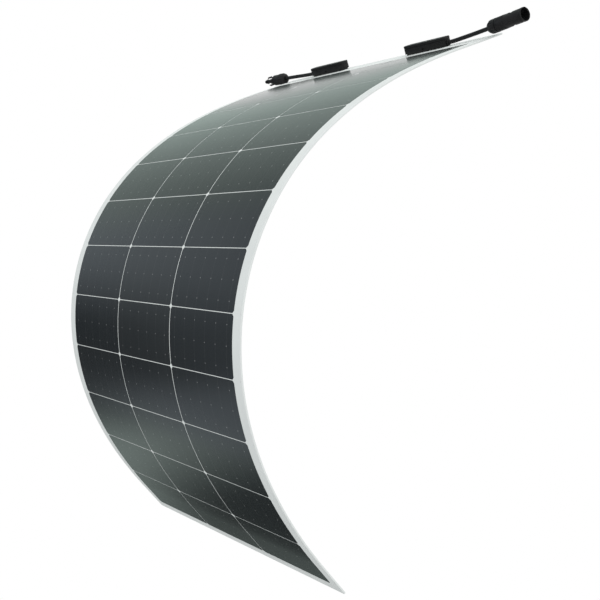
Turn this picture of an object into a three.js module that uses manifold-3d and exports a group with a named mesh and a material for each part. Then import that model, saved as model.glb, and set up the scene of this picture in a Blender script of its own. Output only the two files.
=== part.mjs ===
// Flexible solar sheet: a three-column, twelve-row laminate of half-cut cells, bent into a curve, with two
// junction boxes on the margin at one end and a short cable with a connector on each box.
// Millimetres, +Z up, +X across the sheet. The origin is on the back face, under the middle of row 1.
// Row 1 is the row next to the junction boxes, and row 12 is the row at the free end.
import * as THREE from "three";
import { mergeVertices } from "three/addons/utils/BufferGeometryUtils.js";
import Module from "manifold-3d";

const wasm = await Module();
wasm.setup();

// ---- Driving dimensions -------------------------------------------------------------------------------

// Cells and borders
const COLUMNS = 3;
const ROWS = 12;
const CELL_WIDTH = 166;
const CELL_HEIGHT = 83;
const CELL_GAP = 2;
const CELL_CHAMFER = 4;
const SIDE_BORDER = 19;
const FREE_END_BORDER = 17;
const BOX_END_MARGIN = 55;

// Layers of the laminate, from the back to the front, with a clearance between solids that touch
const BACK_SHEET_THICKNESS = 0.9;
const CELL_THICKNESS = 0.4;
const FRONT_FILM_THICKNESS = 0.6;
const CLEARANCE = 0.3;

// The bend at each gap between rows, in degrees: a bell curve along the sheet
const ROW_1_PITCH = 20.2;
const BEND_PEAK = 14.2;
const BEND_CENTRE_GAP = 6.68;
const BEND_SPREAD_GAPS = 5.03;
const ROW_SLIT = 1;

// Junction boxes
const BOX_CENTRES_X = [-129, 127.5];
const BOX_LENGTH = 94;
const BOX_DEPTH = 20;
const BOX_EDGE_INSET = 9.5;
const BOX_CORNER = 7;
const PAD_THICKNESS = 1.6;
const PAD_INSET = 2.5;
const HOUSING_HEIGHT = 8.6;
const LID_HEIGHT = 4.4;
const BOX_WALL = 2;
const BOX_FLOOR = 1.6;
const LID_LIP_DEPTH = 1.5;
const TERMINAL_SIZE = [16, 9, 0.8];
const DIODE_SIZE = [12, 6, 4];
const TERMINAL_OFFSET_X = 28;

// Ribbons between the cells: half the width of those across a row, and the one in the box end's margin
const CROSS_RIBBON_HALF_WIDTH = 2.5;
const BUS_RIBBON_WIDTH = 5;
const BUS_RIBBON_TO_CELLS = 4;

// Cables: height of the exit over the front film, and the collar that holds the cable
const CABLE_DIAMETER = 6.5;
const CABLE_SIDES = 10;
const CABLE_EXIT_HEIGHT = 5.4;
const COLLAR_LENGTH = 3;
const COLLAR_RADIUS = 4.2;
const COLLAR_SIDES = 20;

// Connectors: lengths along the connector's own axis, from the cable side of its nut
const NUT_LENGTH = 18;
const NUT_RADIUS = 10.7;
const NUT_FACE = 4;
const NUT_CHAMFER = [4.7, 8];
const NUT_THREAD_RADIUS = 7.9;
const NUT_CABLE_RADIUS = 3.6;
const THREAD_RADIUS = 7.5;
const THREAD_START = NUT_FACE + CLEARANCE;
const BARREL_START = NUT_LENGTH + CLEARANCE;
const ROUND_SIDES = 32;

const COUPLER_LENGTH = 71.5;
const COUPLER_NECK_RADIUS = 10.2;
const COUPLER_RING_START = 22;
const COUPLER_RING_END = 35.5;
const COUPLER_RING_RADIUS = 11;
const COUPLER_SLEEVE_RADIUS = 10.2;
const COUPLER_LIP_START = 67;
const COUPLER_LIP_RADIUS = 10.4;
const COUPLER_BORE_RADIUS = 8.7;
const COUPLER_BORE_START = 31;
const COUPLER_WINDOW = [8, 8];
const COUPLER_WINDOW_CENTRE = 48;
const COUPLER_RISE = 6.2;
const PIN_RADIUS = 1.5;
const PIN_END = 54;
const PIN_TIP_LENGTH = 2;
const PIN_SIDES = 16;

const PLUG_BARREL_RADIUS = 9.8;
const PLUG_BARREL_END = 36;
const PLUG_GUIDE_RADIUS = 7.8;
const PLUG_GUIDE_HALF_HEIGHT = 4.8;
const PLUG_GUIDE_END = 45;
const PLUG_GUIDE_SUNK = 1;
const PLUG_RISE = 1.5;
const NOSE_RADIUS = 3.5;
const NOSE_END = 69;
const NOSE_TIP_CHAMFER = [0.4, 2];
const SOCKET_BORE_RADIUS = 2.6;
const SOCKET_BORE_START = 46;
const SOCKET_OUTER_RADIUS = 2.3;
const SOCKET_INNER_RADIUS = 1.6;
const SOCKET_INSET = 2;
const SOCKET_SIDES = 16;
const ARM_LENGTH = 19.2;
const ARM_WIDTH = 8;
const ARM_INNER_RADIUS = 5.9;
const ARM_THICKNESS = 1.8;
const ARM_HOOK = 1.3;
const ARM_HOOK_LENGTH = 5;
const SEAL_PLACE = 62;
const SEAL_SECTION_RADIUS = 0.5;
const SEAL_SIDES = [10, 24];

// Routes of the two cables, as distance past the collar and rise over the exit
const COUPLER_CABLE_ROUTE = [
  [0, 0], [6.1, 0.1], [12.2, 0.4], [18.3, 0.83], [24.4, 1.3],
  [30.5, 1.78], [36.6, 2.26], [42.7, 2.74], [48.8, 3.23], [54.9, 3.74],
  [61, 4.28], [67.1, 4.85], [73.2, 5.44], [79.2, 6.05], [85.2, 6.7],
];
const PLUG_CABLE_ROUTE = [
  [0, 0], [6.2, 0.02], [12.4, 0.1], [18.6, 0.25], [24.8, 0.46],
  [31, 0.72], [37.2, 1.01], [43.4, 1.31], [49.6, 1.61], [55.8, 1.89],
  [62, 2.15], [68.2, 2.39], [74.4, 2.61], [80.6, 2.81], [86.8, 2.98],
];

// ---- Sizes worked out from them -----------------------------------------------------------------------

const ROW_PITCH = CELL_HEIGHT + CELL_GAP;
const COLUMN_PITCH = CELL_WIDTH + CELL_GAP;
const SHEET_WIDTH = COLUMNS * COLUMN_PITCH - CELL_GAP + 2 * SIDE_BORDER;
const CELLS_BACK = BACK_SHEET_THICKNESS + CLEARANCE;
const FILM_BACK = CELLS_BACK + CELL_THICKNESS + CLEARANCE;
const FRONT_FACE = FILM_BACK + FRONT_FILM_THICKNESS;
const BOX_END_EDGE = CELL_HEIGHT / 2 + BOX_END_MARGIN;
const FREE_END_EDGE = -CELL_HEIGHT / 2 - FREE_END_BORDER;
const BOX_CENTRE_U = BOX_END_EDGE - BOX_EDGE_INSET - BOX_DEPTH / 2;
const PAD_BACK = FRONT_FACE + CLEARANCE;
const HOUSING_BACK = PAD_BACK + PAD_THICKNESS + CLEARANCE;
const LID_BACK = HOUSING_BACK + HOUSING_HEIGHT + CLEARANCE;
const CABLE_EXIT_W = FRONT_FACE + CABLE_EXIT_HEIGHT;

// ---- Materials ----------------------------------------------------------------------------------------

const material = (color, roughness, metalness = 0) =>
  new THREE.MeshStandardMaterial({ color, roughness, metalness });
const WHITE_SHEET = material(0xdfe3e0, 0.4);
const CELL_BLUE = material(0x1c2226, 0.25);
const CLEAR_FILM = material(0xcfd6d6, 0.2);
const BLACK_PLASTIC = material(0x17181a, 0.55);
const BLACK_RUBBER = material(0x101011, 0.8);
const BLACK_FOAM = material(0x1c1c1d, 0.9);
const TINNED_COPPER = material(0xb9b4a6, 0.35, 1);
const DIODE_BLACK = material(0x1a1a1c, 0.5);

// ---- Helpers ------------------------------------------------------------------------------------------

function mesh(name, geometry, finish) {
  const made = new THREE.Mesh(geometry, finish);
  made.name = name;
  return made;
}

function group(...children) {
  const made = new THREE.Group();
  made.add(...children);
  return made;
}

// A block between two corners
function block(low, high) {
  const size = high.map((value, axis) => value - low[axis]);
  const centre = high.map((value, axis) => (value + low[axis]) / 2);
  return new THREE.BoxGeometry(...size).translate(...centre);
}

// A block with round vertical corners, standing on the plane z = back
function roundedSlab(length, depth, radius, back, height) {
  const x = length / 2;
  const y = depth / 2;
  const outline = new THREE.Shape();
  outline.moveTo(-x + radius, -y);
  outline.absarc(x - radius, -y + radius, radius, -Math.PI / 2, 0);
  outline.absarc(x - radius, y - radius, radius, 0, Math.PI / 2);
  outline.absarc(-x + radius, y - radius, radius, Math.PI / 2, Math.PI);
  outline.absarc(-x + radius, -y + radius, radius, Math.PI, 1.5 * Math.PI);
  const geometry = new THREE.ExtrudeGeometry(outline, {
    depth: height,
    bevelEnabled: false,
    curveSegments: 5,
  });
  return geometry.translate(0, 0, back);
}

// A turned solid about the local +Z axis, from a list of [radius, height] points
function turned(points, sides = ROUND_SIDES) {
  const profile = points.map(([radius, height]) => new THREE.Vector2(radius, height));
  return new THREE.LatheGeometry(profile, sides).rotateX(Math.PI / 2);
}

function toSolid(geometry) {
  const bare = geometry.index ? geometry.toNonIndexed() : geometry.clone();
  bare.deleteAttribute("normal");
  bare.deleteAttribute("uv");
  const merged = mergeVertices(bare, 1e-4);
  return new wasm.Manifold(
    new wasm.Mesh({
      numProp: 3,
      vertProperties: merged.attributes.position.array,
      triVerts: new Uint32Array(merged.index.array),
    }),
  );
}

function toGeometry(solid) {
  const { vertProperties, triVerts } = solid.getMesh();
  const geometry = new THREE.BufferGeometry();
  geometry.setAttribute("position", new THREE.BufferAttribute(vertProperties, 3));
  geometry.setIndex(new THREE.BufferAttribute(triVerts, 1));
  geometry.computeVertexNormals();
  return geometry;
}

function cut(geometry, ...tools) {
  return toGeometry(tools.reduce((solid, tool) => solid.subtract(toSolid(tool)), toSolid(geometry)));
}

function join(geometry, ...others) {
  return toGeometry(others.reduce((solid, other) => solid.add(toSolid(other)), toSolid(geometry)));
}

// ---- The laminate -------------------------------------------------------------------------------------

const rowName = (piece, row) => piece + "_row_" + String(row).padStart(2, "0");

// Where a row's strip starts and ends along the sheet, from the middle of the row
function stripEnds(row) {
  const inner = ROW_PITCH / 2 - ROW_SLIT / 2;
  const low = row === ROWS ? FREE_END_EDGE : -inner;
  const high = row === 1 ? BOX_END_EDGE : inner;
  return [low, high];
}

function strip(row, back, thickness) {
  const [low, high] = stripEnds(row);
  return block([-SHEET_WIDTH / 2, low, back], [SHEET_WIDTH / 2, high, back + thickness]);
}

// Half the outline of a cell row, upper side, from left to right: three cells with cut corners, joined
// by the cross ribbons that bridge the gaps between them
function cellRowEdge() {
  const points = [];
  for (let column = 0; column < COLUMNS; column++) {
    const left = (column - (COLUMNS - 1) / 2) * COLUMN_PITCH - CELL_WIDTH / 2;
    const right = left + CELL_WIDTH;
    const first = column === 0;
    const last = column === COLUMNS - 1;
    if (!first) points.push([left, CROSS_RIBBON_HALF_WIDTH]);
    points.push([left, CELL_HEIGHT / 2 - CELL_CHAMFER]);
    points.push([left + CELL_CHAMFER, CELL_HEIGHT / 2]);
    points.push([right - CELL_CHAMFER, CELL_HEIGHT / 2]);
    points.push([right, CELL_HEIGHT / 2 - CELL_CHAMFER]);
    if (!last) points.push([right, CROSS_RIBBON_HALF_WIDTH]);
  }
  return points;
}

function cellRow() {
  const upper = cellRowEdge();
  const lower = upper.map(([x, y]) => [x, -y]).reverse();
  const outline = new THREE.Shape([...upper, ...lower].map(([x, y]) => new THREE.Vector2(x, y)));
  const geometry = new THREE.ExtrudeGeometry(outline, { depth: CELL_THICKNESS, bevelEnabled: false });
  return geometry.translate(0, 0, CELLS_BACK);
}

// The ribbon in the box end's margin that ties the strings to the boxes
function busRibbon() {
  const nearCells = CELL_HEIGHT / 2 + BUS_RIBBON_TO_CELLS;
  return block(
    [-COLUMN_PITCH, nearCells, CELLS_BACK],
    [COLUMN_PITCH, nearCells + BUS_RIBBON_WIDTH, CELLS_BACK + CELL_THICKNESS],
  );
}

const bendAt = (gap) => BEND_PEAK * Math.exp(-(((gap - BEND_CENTRE_GAP) / BEND_SPREAD_GAPS) ** 2));

function laminateRow(row) {
  return group(
    mesh(rowName("back_sheet", row), strip(row, 0, BACK_SHEET_THICKNESS), WHITE_SHEET),
    mesh(rowName("cells", row), cellRow(), CELL_BLUE),
    mesh(rowName("front_film", row), strip(row, FILM_BACK, FRONT_FILM_THICKNESS), CLEAR_FILM),
  );
}

// Rows hang on one another: each gap is a pivot half way through the sheet's thickness
function hangRows(firstRow) {
  let above = firstRow;
  for (let row = 2; row <= ROWS; row++) {
    const pivot = new THREE.Group();
    pivot.position.set(0, -ROW_PITCH / 2, FRONT_FACE / 2);
    pivot.rotation.x = THREE.MathUtils.degToRad(bendAt(row - 1));
    const next = laminateRow(row);
    next.position.set(0, -ROW_PITCH / 2, -FRONT_FACE / 2);
    pivot.add(next);
    above.add(pivot);
    above = next;
  }
}

// ---- Junction boxes -----------------------------------------------------------------------------------

// One box about its own centre line; side is +1 where the cable leaves towards +X and -1 towards -X
function junctionBox(side, label) {
  const name = (piece) => label + "_" + piece;
  const insideFloor = HOUSING_BACK + BOX_FLOOR;
  const housingTop = HOUSING_BACK + HOUSING_HEIGHT;
  const innerLength = BOX_LENGTH - 2 * BOX_WALL;
  const innerDepth = BOX_DEPTH - 2 * BOX_WALL;
  const padLength = BOX_LENGTH - 2 * PAD_INSET;
  const padDepth = BOX_DEPTH - 2 * PAD_INSET;
  const pad = roundedSlab(padLength, padDepth, BOX_CORNER - PAD_INSET, PAD_BACK, PAD_THICKNESS);

  const tray = cut(
    roundedSlab(BOX_LENGTH, BOX_DEPTH, BOX_CORNER, HOUSING_BACK, HOUSING_HEIGHT),
    roundedSlab(innerLength, innerDepth, BOX_CORNER - BOX_WALL, insideFloor, HOUSING_HEIGHT),
  );
  const collarStart = BOX_LENGTH / 2 - BOX_WALL / 2;
  const collarEnd = BOX_LENGTH / 2 + COLLAR_LENGTH;
  const collar = new THREE.CylinderGeometry(
    COLLAR_RADIUS,
    COLLAR_RADIUS,
    collarEnd - collarStart,
    COLLAR_SIDES,
  );
  collar.rotateZ(Math.PI / 2).translate((side * (collarStart + collarEnd)) / 2, 0, CABLE_EXIT_W);

  const lipLength = innerLength - 2 * CLEARANCE;
  const lipDepth = innerDepth - 2 * CLEARANCE;
  const lipHeight = LID_LIP_DEPTH + LID_HEIGHT / 2;
  const lid = join(
    roundedSlab(BOX_LENGTH, BOX_DEPTH, BOX_CORNER, LID_BACK, LID_HEIGHT),
    roundedSlab(lipLength, lipDepth, BOX_CORNER - BOX_WALL, housingTop - LID_LIP_DEPTH, lipHeight),
  );

  const terminal = (x) => {
    const [length, width, thickness] = TERMINAL_SIZE;
    const back = insideFloor + CLEARANCE;
    return block([x - length / 2, -width / 2, back], [x + length / 2, width / 2, back + thickness]);
  };
  const [diodeLength, diodeWidth, diodeHeight] = DIODE_SIZE;
  const diodeBack = insideFloor + CLEARANCE;

  return group(
    mesh(name("adhesive_pad"), pad, BLACK_FOAM),
    mesh(name("housing"), join(tray, collar), BLACK_PLASTIC),
    mesh(name("lid"), lid, BLACK_PLASTIC),
    mesh(name("cable_terminal"), terminal(side * TERMINAL_OFFSET_X), TINNED_COPPER),
    mesh(name("string_terminal"), terminal(-side * TERMINAL_OFFSET_X), TINNED_COPPER),
    mesh(
      name("bypass_diode"),
      block(
        [-diodeLength / 2, -diodeWidth / 2, diodeBack],
        [diodeLength / 2, diodeWidth / 2, diodeBack + diodeHeight],
      ),
      DIODE_BLACK,
    ),
  );
}

// ---- Cables -------------------------------------------------------------------------------------------

// Where a cable leaves its collar, in row 1's frame
const cableExit = (side, centreX) =>
  new THREE.Vector3(
    centreX + side * (BOX_LENGTH / 2 + COLLAR_LENGTH + CLEARANCE),
    BOX_CENTRE_U,
    CABLE_EXIT_W,
  );

const routePoints = (route, side, exit) =>
  route.map(([along, rise]) => new THREE.Vector3(exit.x + side * along, exit.y, exit.z + rise));

function cable(points) {
  const circle = new THREE.Shape();
  circle.absarc(0, 0, CABLE_DIAMETER / 2, 0, 2 * Math.PI);
  return new THREE.ExtrudeGeometry(circle, {
    steps: points.length - 1,
    curveSegments: CABLE_SIDES / 2,
    bevelEnabled: false,
    extrudePath: new THREE.CatmullRomCurve3(points),
  });
}

// Puts a connector made along +Z at the end of a cable, pointing along side * X and up by rise
function placeConnector(connector, side, rise, cableEnd) {
  const lift = THREE.MathUtils.degToRad(rise);
  const direction = new THREE.Vector3(side * Math.cos(lift), 0, Math.sin(lift));
  connector.position.copy(cableEnd).addScaledVector(direction, CLEARANCE);
  connector.rotation.y = side * (Math.PI / 2 - lift);
  return connector;
}

// ---- Connectors ---------------------------------------------------------------------------------------

function glandNut() {
  const [chamferDepth, chamferLength] = NUT_CHAMFER;
  return turned([
    [NUT_CABLE_RADIUS, 0],
    [NUT_RADIUS - chamferDepth, 0],
    [NUT_RADIUS, chamferLength],
    [NUT_RADIUS, NUT_LENGTH],
    [NUT_THREAD_RADIUS, NUT_LENGTH],
    [NUT_THREAD_RADIUS, NUT_FACE],
    [NUT_CABLE_RADIUS, NUT_FACE],
    [NUT_CABLE_RADIUS, 0],
  ]);
}

// The open-ended connector: a sleeve with the contact pin down its middle, and an upper and a lower window
function coupler() {
  const sleeve = turned([
    [0, THREAD_START],
    [THREAD_RADIUS, THREAD_START],
    [THREAD_RADIUS, BARREL_START],
    [COUPLER_NECK_RADIUS, BARREL_START],
    [COUPLER_NECK_RADIUS, COUPLER_RING_START],
    [COUPLER_RING_RADIUS, COUPLER_RING_START],
    [COUPLER_RING_RADIUS, COUPLER_RING_END],
    [COUPLER_SLEEVE_RADIUS, COUPLER_RING_END],
    [COUPLER_SLEEVE_RADIUS, COUPLER_LIP_START],
    [COUPLER_LIP_RADIUS, COUPLER_LIP_START],
    [COUPLER_LIP_RADIUS, COUPLER_LENGTH],
    [COUPLER_BORE_RADIUS, COUPLER_LENGTH],
    [COUPLER_BORE_RADIUS, COUPLER_BORE_START],
    [0, COUPLER_BORE_START],
  ]);
  const [windowLength, windowWidth] = COUPLER_WINDOW;
  const windowLow = COUPLER_WINDOW_CENTRE - windowLength / 2;
  const windowHigh = COUPLER_WINDOW_CENTRE + windowLength / 2;
  const windows = block(
    [-COUPLER_RING_RADIUS, -windowWidth / 2, windowLow],
    [COUPLER_RING_RADIUS, windowWidth / 2, windowHigh],
  );
  const pinStart = COUPLER_BORE_START + CLEARANCE;
  const pinPoints = [
    [0, pinStart],
    [PIN_RADIUS, pinStart],
    [PIN_RADIUS, PIN_END - PIN_TIP_LENGTH],
    [PIN_RADIUS / 2, PIN_END],
    [0, PIN_END],
  ];
  return group(
    mesh("coupler_body", cut(sleeve, windows), BLACK_PLASTIC),
    mesh("coupler_gland_nut", glandNut(), BLACK_PLASTIC),
    mesh("coupler_contact_pin", turned(pinPoints, PIN_SIDES), TINNED_COPPER),
  );
}

// A latch arm beside the nose, turned about the connector's axis by an angle in radians
function latchArm(angle) {
  const start = PLUG_BARREL_END + CLEARANCE;
  const end = start + ARM_LENGTH;
  const outer = ARM_INNER_RADIUS + ARM_THICKNESS;
  const outline = new THREE.Shape([
    new THREE.Vector2(ARM_INNER_RADIUS, start),
    new THREE.Vector2(outer, start),
    new THREE.Vector2(outer, end - ARM_HOOK_LENGTH),
    new THREE.Vector2(outer + ARM_HOOK, end - ARM_HOOK_LENGTH),
    new THREE.Vector2(outer, end),
    new THREE.Vector2(ARM_INNER_RADIUS, end),
  ]);
  const geometry = new THREE.ExtrudeGeometry(outline, { depth: ARM_WIDTH, bevelEnabled: false });
  geometry.translate(0, 0, -ARM_WIDTH / 2).rotateX(Math.PI / 2);
  return geometry.rotateZ(angle);
}

// The guide in front of the barrel: round at its sides, and flat under the two latch arms
function plugGuide() {
  const length = PLUG_GUIDE_END - PLUG_BARREL_END;
  const flat = Math.asin(PLUG_GUIDE_HALF_HEIGHT / PLUG_GUIDE_RADIUS);
  const outline = new THREE.Shape();
  outline.absarc(0, 0, PLUG_GUIDE_RADIUS, -flat, flat);
  outline.absarc(0, 0, PLUG_GUIDE_RADIUS, Math.PI - flat, Math.PI + flat);
  const guide = new THREE.ExtrudeGeometry(outline, {
    depth: length + PLUG_GUIDE_SUNK,
    bevelEnabled: false,
    curveSegments: 8,
  });
  return guide.rotateZ(Math.PI / 2).translate(0, 0, PLUG_BARREL_END - PLUG_GUIDE_SUNK);
}

// The connector with the nose: a barrel and its guide, a nose with the contact socket in it, and two arms
function plug() {
  const [tipDepth, tipLength] = NOSE_TIP_CHAMFER;
  const barrel = turned([
    [0, THREAD_START],
    [THREAD_RADIUS, THREAD_START],
    [THREAD_RADIUS, BARREL_START],
    [PLUG_BARREL_RADIUS, BARREL_START],
    [PLUG_BARREL_RADIUS, PLUG_BARREL_END],
    [NOSE_RADIUS, PLUG_BARREL_END],
    [NOSE_RADIUS, NOSE_END - tipLength],
    [NOSE_RADIUS - tipDepth, NOSE_END],
    [SOCKET_BORE_RADIUS, NOSE_END],
    [SOCKET_BORE_RADIUS, SOCKET_BORE_START],
    [0, SOCKET_BORE_START],
  ]);
  const socketStart = SOCKET_BORE_START + CLEARANCE;
  const socketPoints = [
    [SOCKET_INNER_RADIUS, socketStart],
    [SOCKET_OUTER_RADIUS, socketStart],
    [SOCKET_OUTER_RADIUS, NOSE_END - SOCKET_INSET],
    [SOCKET_INNER_RADIUS, NOSE_END - SOCKET_INSET],
    [SOCKET_INNER_RADIUS, socketStart],
  ];
  const sealRadius = NOSE_RADIUS + CLEARANCE + SEAL_SECTION_RADIUS;
  const seal = new THREE.TorusGeometry(sealRadius, SEAL_SECTION_RADIUS, ...SEAL_SIDES);
  return group(
    mesh("plug_body", join(barrel, plugGuide()), BLACK_PLASTIC),
    mesh("plug_gland_nut", glandNut(), BLACK_PLASTIC),
    mesh("plug_contact_socket", turned(socketPoints, SOCKET_SIDES), TINNED_COPPER),
    mesh("plug_nose_seal", seal.translate(0, 0, SEAL_PLACE), BLACK_RUBBER),
    mesh("plug_latch_arm_upper", latchArm(0), BLACK_PLASTIC),
    mesh("plug_latch_arm_lower", latchArm(Math.PI), BLACK_PLASTIC),
  );
}

// ---- Assembly -----------------------------------------------------------------------------------------

function boxEnd(side, centreX, boxLabel, cableName, route, connector, rise) {
  const box = junctionBox(side, boxLabel);
  box.position.set(centreX, BOX_CENTRE_U, 0);
  const points = routePoints(route, side, cableExit(side, centreX));
  return group(
    box,
    mesh(cableName, cable(points), BLACK_RUBBER),
    placeConnector(connector, side, rise, points.at(-1)),
  );
}

const row1 = laminateRow(1);
row1.add(
  mesh("string_bus_ribbon", busRibbon(), TINNED_COPPER),
  boxEnd(-1, BOX_CENTRES_X[0], "left_box", "plug_cable", PLUG_CABLE_ROUTE, plug(), PLUG_RISE),
  boxEnd(1, BOX_CENTRES_X[1], "right_box", "coupler_cable", COUPLER_CABLE_ROUTE, coupler(), COUPLER_RISE),
);
row1.rotation.x = THREE.MathUtils.degToRad(ROW_1_PITCH);
hangRows(row1);

export default group(row1);
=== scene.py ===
"""Looks of the flexible solar sheet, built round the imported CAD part.

Lengths are metres and points are in the part's own frame: +Z up, +X across the sheet, and the origin on the
back face under the middle of row 1, the row beside the junction boxes. A place on the laid-flat sheet is
(x, flat, height): flat runs from the middle of row 1 towards the free end, height from the back face out.
"""
import itertools
import math

import bmesh
import bpy
from mathutils import Matrix, Vector


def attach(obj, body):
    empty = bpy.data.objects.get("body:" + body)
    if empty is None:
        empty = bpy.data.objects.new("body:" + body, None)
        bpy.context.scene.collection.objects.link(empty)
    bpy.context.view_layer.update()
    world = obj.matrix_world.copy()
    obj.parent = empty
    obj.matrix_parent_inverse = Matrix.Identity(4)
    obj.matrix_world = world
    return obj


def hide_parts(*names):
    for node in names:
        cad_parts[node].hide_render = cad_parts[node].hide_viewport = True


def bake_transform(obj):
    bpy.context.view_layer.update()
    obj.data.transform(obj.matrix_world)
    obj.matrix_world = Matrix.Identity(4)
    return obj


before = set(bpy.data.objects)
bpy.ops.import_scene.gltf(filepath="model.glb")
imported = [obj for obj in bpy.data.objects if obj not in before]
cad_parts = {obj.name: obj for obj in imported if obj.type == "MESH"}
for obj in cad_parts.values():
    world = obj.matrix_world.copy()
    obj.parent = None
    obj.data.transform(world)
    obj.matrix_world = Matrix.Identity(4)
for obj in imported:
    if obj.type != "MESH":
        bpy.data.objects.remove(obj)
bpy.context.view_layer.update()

# ---- Driving dimensions, as in the CAD part ----

COLUMNS = 3
ROWS = 12
CELL_WIDTH = 0.166
CELL_HEIGHT = 0.083
CELL_GAP = 0.002
SIDE_BORDER = 0.019
FREE_END_BORDER = 0.017
BOX_END_MARGIN = 0.055
SHEET_THICKNESS = 0.0025

ROW_1_PITCH = math.radians(20.2)
BEND_PEAK = math.radians(14.2)
BEND_CENTRE_GAP = 6.68
BEND_SPREAD_GAPS = 5.03

BOX_CENTRES_X = {"left": -0.129, "right": 0.1275}
BOX_LENGTH = 0.094
BOX_DEPTH = 0.020
BOX_EDGE_INSET = 0.0095
BOX_CORNER = 0.007
BOX_WALL = 0.002
BOX_FLOOR = 0.0016
PAD_BACK = 0.0028
PAD_FRONT = 0.0044
PAD_INSET = 0.0025
HOUSING_BACK = 0.0047
HOUSING_FRONT = 0.0133
LID_BACK = 0.0136
LID_FRONT = 0.018
COLLAR_LENGTH = 0.003
COLLAR_RADIUS = 0.0042
CLEARANCE = 0.0003

CABLE_DIAMETER = 0.0065
CABLE_EXIT_HEIGHT = 0.0079
COUPLER_RISE = math.radians(6.2)
PLUG_RISE = math.radians(1.5)
COUPLER_CABLE_ROUTE = [
    (0, 0), (0.0061, 0.0001), (0.0122, 0.0004), (0.0183, 0.00083), (0.0244, 0.0013),
    (0.0305, 0.00178), (0.0366, 0.00226), (0.0427, 0.00274), (0.0488, 0.00323), (0.0549, 0.00374),
    (0.061, 0.00428), (0.0671, 0.00485), (0.0732, 0.00544), (0.0792, 0.00605), (0.0852, 0.0067),
]
PLUG_CABLE_ROUTE = [
    (0, 0), (0.0062, 0.00002), (0.0124, 0.0001), (0.0186, 0.00025), (0.0248, 0.00046),
    (0.031, 0.00072), (0.0372, 0.00101), (0.0434, 0.00131), (0.0496, 0.00161), (0.0558, 0.00189),
    (0.062, 0.00215), (0.0682, 0.00239), (0.0744, 0.00261), (0.0806, 0.00281), (0.0868, 0.00298),
]

# ---- Sizes worked out from them ----

ROW_PITCH = CELL_HEIGHT + CELL_GAP
COLUMN_PITCH = CELL_WIDTH + CELL_GAP
HALF_SHEET_WIDTH = (COLUMNS * COLUMN_PITCH - CELL_GAP) / 2 + SIDE_BORDER
BOX_END = -(CELL_HEIGHT / 2 + BOX_END_MARGIN)
FREE_END = (ROWS - 1) * ROW_PITCH + CELL_HEIGHT / 2 + FREE_END_BORDER
BOX_CENTRE_FLAT = BOX_END + BOX_EDGE_INSET + BOX_DEPTH / 2

# ---- Camera ----

CAMERA_PLACE = Vector((1.2735, -1.0041, -0.2688))
CAMERA_FORWARD = Vector((-0.8107, 0.5817, -0.0663))
CAMERA_LENS_MM = 57.37
CAMERA_SENSOR_MM = 36


def make_camera():
    data = bpy.data.cameras.new("camera")
    data.lens = CAMERA_LENS_MM
    data.sensor_width = CAMERA_SENSOR_MM
    data.clip_start = 0.01
    data.clip_end = 100
    camera = bpy.data.objects.new("camera", data)
    bpy.context.scene.collection.objects.link(camera)
    camera.location = CAMERA_PLACE
    camera.rotation_mode = "QUATERNION"
    camera.rotation_quaternion = CAMERA_FORWARD.to_track_quat("-Z", "Y")
    bpy.context.scene.camera = camera


make_camera()

# ---- Where things are on the sheet ----


def bend_at(gap):
    return BEND_PEAK * math.exp(-(((gap - BEND_CENTRE_GAP) / BEND_SPREAD_GAPS) ** 2))


def along(angle):
    """Unit vector up the sheet, towards the box end, where the sheet pitches by angle"""
    return Vector((0, math.cos(angle), math.sin(angle)))


def out_of(angle):
    """Unit vector out of the sheet's front there"""
    return Vector((0, -math.sin(angle), math.cos(angle)))


def row_places():
    """The middle of each row, half way through the sheet, and the row's pitch"""
    centre = out_of(ROW_1_PITCH) * (SHEET_THICKNESS / 2)
    angle = ROW_1_PITCH
    places = [(centre, angle)]
    for gap in range(1, ROWS):
        pivot = centre - along(angle) * (ROW_PITCH / 2)
        angle += bend_at(gap)
        centre = pivot - along(angle) * (ROW_PITCH / 2)
        places.append((centre, angle))
    return places


ROW_PLACES = row_places()


def sheet_place(flat):
    """The mid-thickness point and the pitch at a flat distance: an arc between each two row middles"""
    if flat <= 0:
        centre, angle = ROW_PLACES[0]
        return centre - along(angle) * flat, angle
    last = ROWS - 1
    if flat >= last * ROW_PITCH:
        centre, angle = ROW_PLACES[last]
        return centre - along(angle) * (flat - last * ROW_PITCH), angle
    row = min(int(flat / ROW_PITCH), last - 1)
    centre, angle = ROW_PLACES[row]
    bend = ROW_PLACES[row + 1][1] - angle
    radius = ROW_PITCH / 2 / math.tan(bend / 2)
    turned = angle + bend * (flat / ROW_PITCH - row)
    return centre + (out_of(turned) - out_of(angle)) * radius, turned


def on_sheet(x, flat, height):
    centre, angle = sheet_place(flat)
    return Vector((x, 0, 0)) + centre + out_of(angle) * (height - SHEET_THICKNESS / 2)


# Row 1 is flat, so what stands on it has one straight frame: x, up the sheet, and out of it
ROW_1_FRAME = Matrix.Rotation(ROW_1_PITCH, 4, "X")
BOX_LINE = -BOX_CENTRE_FLAT

# ---- Cables ----


def cable_exit(side, centre_x):
    reach = BOX_LENGTH / 2 + COLLAR_LENGTH + CLEARANCE
    return Vector((centre_x + side * reach, BOX_LINE, CABLE_EXIT_HEIGHT))


def route_points(route, side, start):
    return [start + Vector((side * distance, 0, rise)) for distance, rise in route]


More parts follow.
